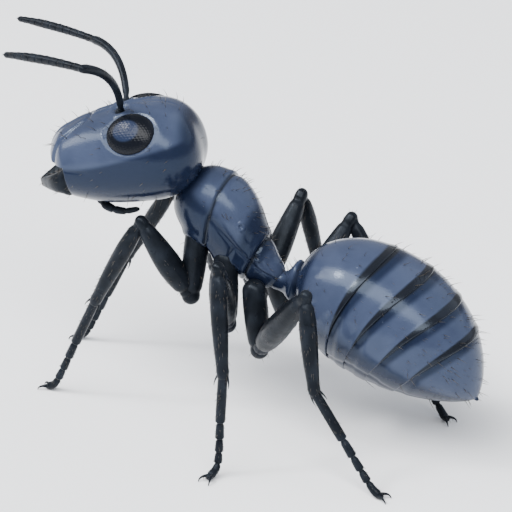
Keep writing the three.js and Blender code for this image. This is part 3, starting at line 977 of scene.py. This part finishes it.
def gaster_ring(index, route, body):
    """One ring, counted from 1, which starts under the rim of the ring before it."""
    length = route.length
    start, end = (GASTER_BORDERS[i] * length for i in (index - 1, index))
    first, last = index == 1, index == len(GASTER_BORDERS) - 1
    fullest = 0.42

    def bulge(s):
        t = max(s, 0) / length
        rear = (1 - clamp01((t - fullest) / (1 - fullest)) ** 2) ** 0.74
        return nose(1 - t / fullest, 2.4) * rear

    def trail(s, turn):
        """Rims lean back at the top and reach forward at the sides."""
        return math.sin(math.pi * clamp01(s / length)) * (0.68 * math.sin(turn) - 0.3 * math.cos(turn) ** 2)

    def size(s):
        u = clamp01((s - start) / (end - start))
        tuck = 0.0 if first else 0.07 * (1 - smooth((s - start + 0.1) / 0.35))
        swell = 0.0 if last else 0.02 * smooth(u / 0.7)
        width = body.gaster_width * bulge(s)
        height = body.gaster_height * bulge(s)
        halves = (width - tuck + swell, height - tuck + swell, height - 0.4 * tuck)
        return [max(half, 0.01) for half in halves]

    def section(s, turn):
        aside, lift = oval(size)(s, turn)
        if last:
            return aside, lift
        rear = smooth((s - trail(s, turn) - end + 0.4) / 0.35)
        rim = body.lip * smooth((math.sin(turn) + 0.75) / 0.9) * rear
        grow = 1 + rim / max(math.hypot(aside, lift), 0.2)
        return aside * grow, lift * grow

    def fold(place, s, turn):
        return -0.04 * bump(math.sin(turn) + 0.62 + 0.1 * math.sin(s), 0.035)

    # Darkens each ring's rear rim, partly the rim's own dark and partly painted shade of the gap under it,
    # wide at the top and gone low on the side. The strip at the front of each later ring is painted shadow
    # under the ring before.
    def band(place, s, turn):
        width = 0.36 * clamp01((math.sin(turn) + 0.2) / 1.15) ** 0.7
        s -= trail(s, turn)
        rear = 0 if last else smooth((width - (end - s)) / 0.05)
        fore = 0 if first else smooth((0.06 - (s - start)) / 0.05)
        return max(rear, fore) * smooth(width / 0.05)

    # Painted light: the upper part of each ring, behind its front strip, is painted paler as if lit from
    # above.
    def light(place, s, turn):
        past = s - trail(s, turn) - start
        return smooth((math.sin(turn) + 0.28) / 0.25) * smooth((past - (0.75 if first else 0.2)) / 0.25)

    hidden = 0 if first else 0.5
    if last:
        stations = eased(start - hidden, length - 0.02, 80)
    else:
        stations = eased(max(start - hidden, 0.02), end - 0.05, 50)
        stations += [(end - 0.03, 0.998), (end - 0.01, 0.993), (end - 0.005, 0.985), (end - 0.02, 0.975)]
        stations += [(end - 0.12, 0.95), (end - 0.35, 0.9), (end - 0.6, 0.6)]
    piece = sleeve(f"gaster_ring_{index}", route, stations, section, around=160, trail=trail)
    relief(piece, fold)
    paint(piece, "band", band)
    paint(piece, "light", light)
    return piece


class ANT_OT_gaster(bpy.types.Operator):
    """Models the five overlapping rings of the gaster, each darker at its rear rim, partly its own dark and
    partly painted shade, with painted shadow on the front of the ring behind
    """

    bl_idname = "ant.gaster"
    bl_label = "Gaster"

    def execute(self, context):
        body = in_mm(context.scene.ant_body)
        route = gaster_route(80)
        last = len(GASTER_BORDERS) - 1
        for index in range(1, last + 1):
            piece = gaster_ring(index, route, body)
            if index == last:
                place, way = route.at(route.length - 0.12)
                tube = Route([place, place + way * 0.16])
                nozzle = limb("nozzle", tube, lambda t: mix(0.15, 0.09, t), around=20, count=8)
                for label in ("band", "light"):
                    nozzle.data.attributes.new(label, "FLOAT", "POINT")
                piece = joined(piece.name, piece, nozzle)
            settle(piece, plate_finish, f"gaster_{index}", sharp=180)
        return {"FINISHED"}


# ---------------------------------------------------------------- legs


def bulged(root, thick, end, fullest):
    """Radius that is root at one joint, end at the next and thick at fullest between them."""

    def radius(t):
        if t < fullest:
            return mix(root, thick, math.sin(math.pi / 2 * t / fullest) ** 0.9)
        return mix(thick, end, ((t - fullest) / (1 - fullest)) ** 1.6)

    return radius


def foot_joints(first):
    """Radius along a foot: first at the ankle, with a waist at the start of each later joint."""

    def radius(t):
        r = mix(first, 0.185, smooth(t * 1.2))
        for a, b in zip(FOOT_BORDERS, FOOT_BORDERS[1:]):
            if a <= t <= b:
                u = (t - a) / (b - a)
                waist = mix(0.7, 1, smooth((t - a) / 0.035)) if a > 0 else 1
                return r * (waist * mix(0.86, 1.1, u) * mix(0.8, 1, smooth((b - t) / 0.012)))

    return radius


def foot_parts(ankle, foot, sizes):
    """A foot's joints down to the floor, its two claws and the pad between them."""
    height = 0.19
    away = (foot - ankle).to_2d().to_3d().normalized()
    across = away.cross(UP)
    last = Vector((foot.x, foot.y, height)) - away * sizes.claw / 2
    heel = last - away * 0.5
    heel.z = height + 0.5
    way = through([ankle, ankle.lerp(heel, 0.5), heel, last])
    parts = [limb("joints", way, foot_joints(sizes.tarsus), around=24, count=190)]
    for sign in (-1, 1):
        a = last + across * 0.05 * sign
        b = last + away * 0.4 + across * 0.3 * sign
        c = last + away * 0.5 + across * 0.3 * sign
        b.z, c.z = 0.31, 0.03
        parts.append(limb("claw", pulled(a, b, c, 16), lambda t: mix(0.1, 0.02, t), around=12, count=20))
    parts.append(ball("pad", last + away * 0.1 - UP * 0.03, (0.16, 0.13, 0.13)))
    return parts


class ANT_OT_legs(bpy.types.Operator):
    """Models the six legs, joint by joint, down to the claws"""

    bl_idname = "ant.legs"
    bl_label = "Legs"

    def execute(self, context):
        sizes = in_mm(context.scene.ant_limbs)
        club = bulged(0.32, sizes.femur, 0.3, 0.42)
        shank = bulged(0.25, sizes.tibia, 0.25, 0.36)

        def coxa(t):
            return mix(sizes.coxa, 0.44, t) + 0.07 * math.sin(math.pi * t) - 0.05 * bump(t - 0.93, 0.04)

        def femur(t):
            return club(t) * (1 - 0.14 * bump(t - 0.93, 0.025)) * (1 - 0.2 * bump(t - 0.11, 0.025))

        def tibia(t):
            return shank(t) * (1 - 0.22 * bump(t - 0.07, 0.03)) + 0.03 * bump(t - 0.97, 0.04)

        for leg, (root, hip, knee, ankle, foot) in LEGS.items():
            short = leg.replace("leg", "")
            outward = Vector((0, math.copysign(1, hip.y), 0))
            trunk = limb("trunk", Route([root, hip]), coxa, around=36, count=50)
            bead = limb("bead", Route([hip, hip.lerp(knee, 0.09)]), lambda t: 0.37, around=30, count=10)
            settle(joined(short + "_coxa", trunk, bead), limb_finish, leg + "_coxa")

            way = arc(hip, knee, outward * 0.1 + UP * 0.05)
            settle(limb(short + "_femur", way, femur, around=32, count=64), limb_finish, leg + "_femur")
            fold = ball(short + "_knee_fold", knee - UP * 0.1, (0.27, 0.27, 0.27), around=24, along=16)
            settle(fold, membrane_finish)

            way = arc(knee, ankle, outward * 0.08 + UP * 0.04)
            parts = [limb("shin", way, tibia, around=30, count=64)]
            down = (foot - ankle).normalized()
            side = down.cross(outward).normalized()
            for sign in (-1, 1):
                start = ankle - down * 0.05 + side * 0.18 * sign
                end = start + down * 0.62 + side * 0.18 * sign
                spur = arc(start, end, side * 0.05 * sign)
                parts.append(limb("spur", spur, lambda t: mix(0.07, 0.012, t), around=10, count=12))
            settle(joined(short + "_tibia", *parts), limb_finish, leg + "_tibia")

            piece = joined(short + "_foot", *foot_parts(ankle, foot, sizes))
            for vertex in piece.data.vertices:
                vertex.co.z = max(vertex.co.z, 0)
            face_out(piece)
            settle(piece, limb_finish, leg + "_tarsus")
        return {"FINISHED"}


# ---------------------------------------------------------------- bristles


class Bristles:
    """Short tapering hairs that grow from finished pieces and are kept as one piece."""

    def __init__(self, seed):
        self.random = random.Random(seed)
        self.points = []
        self.faces = []

    def grow(self, root, way, comb, length, thick):
        """One hair of three lengths that bends towards comb."""
        side = way.orthogonal().normalized()
        other = way.cross(side)
        first = len(self.points)
        corners = ((0, 1), (1, 2), (2, 0))
        for t, share in ((0.0, 1.0), (0.35, 0.85), (0.7, 0.55)):
            middle = root + way * (length * t) + comb * (0.3 * length * t * t)
            for k, _ in corners:
                angle = 2 * math.pi * k / 3
                spoke = side * math.cos(angle) + other * math.sin(angle)
                self.points.append(middle + spoke * thick * share)
        self.points.append(root + way * length + comb * (0.3 * length))
        for ring in (first, first + 3):
            self.faces += [(ring + k, ring + n, ring + 3 + n, ring + 3 + k) for k, n in corners]
        self.faces += [(first + 6 + k, first + 6 + n, first + 9) for k, n in corners]
        self.faces.append((first + 2, first + 1, first))

    def over(self, name, count, length, comb, erect, thick=0.016, keep=None):
        """Spreads hairs over a piece, in the ant's own frame, where keep(place, normal) is true."""
        faces = bpy.data.objects[name].data.polygons
        tries = count * (6 if keep else 1)
        left = count
        for face in self.random.choices(faces, weights=[face.area for face in faces], k=tries):
            place = FROM_ROW @ face.center
            if left == 0 or (keep and not keep(place, face.normal)):
                continue
            left -= 1
            stray = Vector(self.random.gauss(0, 0.12) for _ in range(3))
            way = (face.normal * erect + comb * (1 - erect) + stray).normalized()
            hair = length * self.random.uniform(0.65, 1.2)
            if place.z + (way.z + 0.3 * comb.z) * hair >= 0.03:
                self.grow(place - face.normal * 0.02, way, comb, hair, thick * (0.6 + 0.4 * hair / length))

    def plant(self, name):
        mesh = bpy.data.meshes.new(name)
        mesh.from_pydata(self.points, [], self.faces)
        piece = bpy.data.objects.new(name, mesh)
        bpy.context.collection.objects.link(piece)
        settle(piece, bristle_finish, sharp=180)


def outside_gaster(index):
    """Where a ring of the gaster isn't covered by the ring before it."""
    spine = gaster_route(60)
    start = GASTER_BORDERS[index - 1] * spine.length

    def keep(place, normal):
        near = min(range(len(spine.points)), key=lambda i: (spine.points[i] - place).length)
        return normal.z > -0.75 and spine.marks[near] > start + 0.35

    return keep


class ANT_OT_bristles(bpy.types.Operator):
    """Grows the sparse bristles of head, body and limbs"""

    bl_idname = "ant.bristles"
    bl_label = "Bristles"

    def execute(self, context):
        back = Vector((0.9, 0, -0.3)).normalized()
        turn = head_place()
        ahead = (turn.to_3x3() @ Vector((-1, 0, -0.25))).normalized()
        to_head = turn.inverted()
        front = context.scene.ant_head.length / MM

        def on_crown(place, normal):
            return normal.z > 0.35 and (to_head @ place).x < -0.6

        def on_face_rim(place, normal):
            x, y, z = to_head @ place
            return x < 0.1 - front and z > MOUTH_ROOF

        head = Bristles(3)
        head.over("head_capsule", 60, 0.42, ahead, 0.85, keep=on_crown)
        head.over("head_capsule", 50, 0.2, ahead, 0.5, 0.012, lambda place, normal: abs(normal.z) < 0.5)
        head.over("head_capsule", 26, 0.45, ahead, 0.8, keep=lambda place, normal: normal.z < -0.5)
        head.over("head_capsule", 26, 0.6, ahead, 0.3, keep=on_face_rim)
        for label in SIDES:
            whip = (FEELER_TIPS[label] - ELBOWS[label]).normalized()
            head.over("jaw_" + label, 45, 0.22, ahead, 0.5, 0.012)
            head.over("feeding_palp_" + label, 40, 0.12, back, 0.6, 0.01)
            head.over("scape_" + label, 70, 0.12, whip, 0.55, 0.01)
            head.over("flagellum_" + label, 330, 0.075, whip, 0.5, 0.008)
        head.plant("head_bristles")

        crown, tip = GASTER_SPINE[1:]
        rear = (tip - crown).normalized()

        def on_tip(place, normal):
            return (place - tip).length < 0.45

        body = Bristles(5)
        body.over("mesosoma_plates", 80, 0.42, back, 0.85, keep=lambda place, normal: normal.z > 0.25)
        body.over("waist_scale", 22, 0.32, UP, 0.7, keep=lambda place, normal: normal.z > 0.2)
        for index in range(1, len(GASTER_BORDERS)):
            ring = f"gaster_ring_{index}"
            bare = outside_gaster(index)
            body.over(ring, 60 if index == 1 else 40, 0.45, back, 0.7, keep=bare)
            body.over(ring, 90, 0.16, back, 0.25, 0.009, bare)
        body.over("gaster_ring_5", 46, 0.28, rear, 0.4, keep=on_tip)
        body.plant("body_bristles")

        legs = Bristles(7)
        coats = (
            ("_coxa", 24, 0.24, 0.7, 0.013),
            ("_femur", 60, 0.2, 0.5, 0.012),
            ("_tibia", 110, 0.17, 0.45, 0.012),
            ("_foot", 130, 0.13, 0.5, 0.011),
        )
        for leg, joints in LEGS.items():
            for (part, count, length, erect, thick), start, end in zip(coats, joints, joints[1:]):
                name = leg.replace("leg", "") + part
                legs.over(name, count, length, (end - start).normalized(), erect, thick)
        legs.plant("leg_bristles")
        return {"FINISHED"}


# ---------------------------------------------------------------- stage


class ANT_OT_stage(bpy.types.Operator):
    """Adds the pale floor, the soft lights and the camera"""

    bl_idname = "ant.stage"
    bl_label = "Stage"

    def execute(self, context):
        studio = context.scene.ant_studio
        pick()
        bpy.ops.mesh.primitive_plane_add(size=12)
        floor = named("floor")
        made = Finish("floor")
        made.set(Base_Color=made.colours.floor, Roughness=0.6)
        floor.data.materials.append(made.material)

        world = bpy.data.worlds.new("studio")
        world.use_nodes = True
        sky = world.node_tree.nodes["Background"].inputs
        sky["Color"].default_value = (0.93, 0.95, 1, 1)
        sky["Strength"].default_value = studio.sky
        context.scene.world = world

        target = TO_ROW @ VIEW_CENTRE
        for name, (kind, way, size, colour) in LAMPS.items():
            offset = Vector(way)
            turn = (-offset).to_track_quat("-Z", "Y").to_euler()
            bpy.ops.object.light_add(type=kind, location=target + offset * 0.5, rotation=turn)
            lamp = named(name)
            lamp.data.energy = getattr(studio, name)
            lamp.data.color = colour
            lamp.visible_glossy = name != "key"
            if kind == "AREA":
                lamp.data.shape = "RECTANGLE"
                lamp.data.size = size
                lamp.data.size_y = 0.14 * size
            else:
                lamp.data.angle = math.radians(size)

        place = TO_ROW @ VIEWPOINT
        turn = (target - place).to_track_quat("-Z", "Y").to_euler()
        bpy.ops.object.camera_add(location=place, rotation=turn)
        camera = context.object
        camera.data.lens = studio.lens
        camera.data.clip_start = 0.005
        context.scene.camera = camera
        return {"FINISHED"}


# ---------------------------------------------------------------- add-on

GROUPS = {
    "ant_head": HeadSizes,
    "ant_body": BodySizes,
    "ant_limbs": LimbSizes,
    "ant_finishes": Finishes,
    "ant_studio": Studio,
}
OPERATORS = [
    ANT_OT_head,
    ANT_OT_eyes,
    ANT_OT_jaws,
    ANT_OT_palps,
    ANT_OT_feelers,
    ANT_OT_mesosoma,
    ANT_OT_neck,
    ANT_OT_waist,
    ANT_OT_gaster,
    ANT_OT_legs,
    ANT_OT_bristles,
    ANT_OT_stage,
]


class ANT_PT_panel(bpy.types.Panel):
    """Lists the ant's sizes, colours and pieces"""

    bl_idname = "ANT_PT_panel"
    bl_label = "Carpenter ant"
    bl_space_type = "VIEW_3D"
    bl_region_type = "UI"
    bl_category = "Ant"

    def draw(self, context):
        for name, group in GROUPS.items():
            box = self.layout.box()
            for key in group.__annotations__:
                box.prop(getattr(context.scene, name), key)
        for operator in OPERATORS:
            self.layout.operator(operator.bl_idname)


CLASSES = (*GROUPS.values(), *OPERATORS, ANT_PT_panel)


def register():
    for made in CLASSES:
        bpy.utils.register_class(made)
    for name, group in GROUPS.items():
        setattr(bpy.types.Scene, name, PointerProperty(type=group))


def unregister():
    for name in GROUPS:
        delattr(bpy.types.Scene, name)
    for made in reversed(CLASSES):
        bpy.utils.unregister_class(made)


def main():
    register()
    bpy.ops.ant.head()
    bpy.ops.ant.eyes()
    bpy.ops.ant.jaws()
    bpy.ops.ant.palps()
    bpy.ops.ant.feelers()
    bpy.ops.ant.mesosoma()
    bpy.ops.ant.neck()
    bpy.ops.ant.waist()
    bpy.ops.ant.gaster()
    bpy.ops.ant.legs()
    bpy.ops.ant.bristles()
    bpy.ops.ant.stage()


if __name__ == "__main__":
    main()
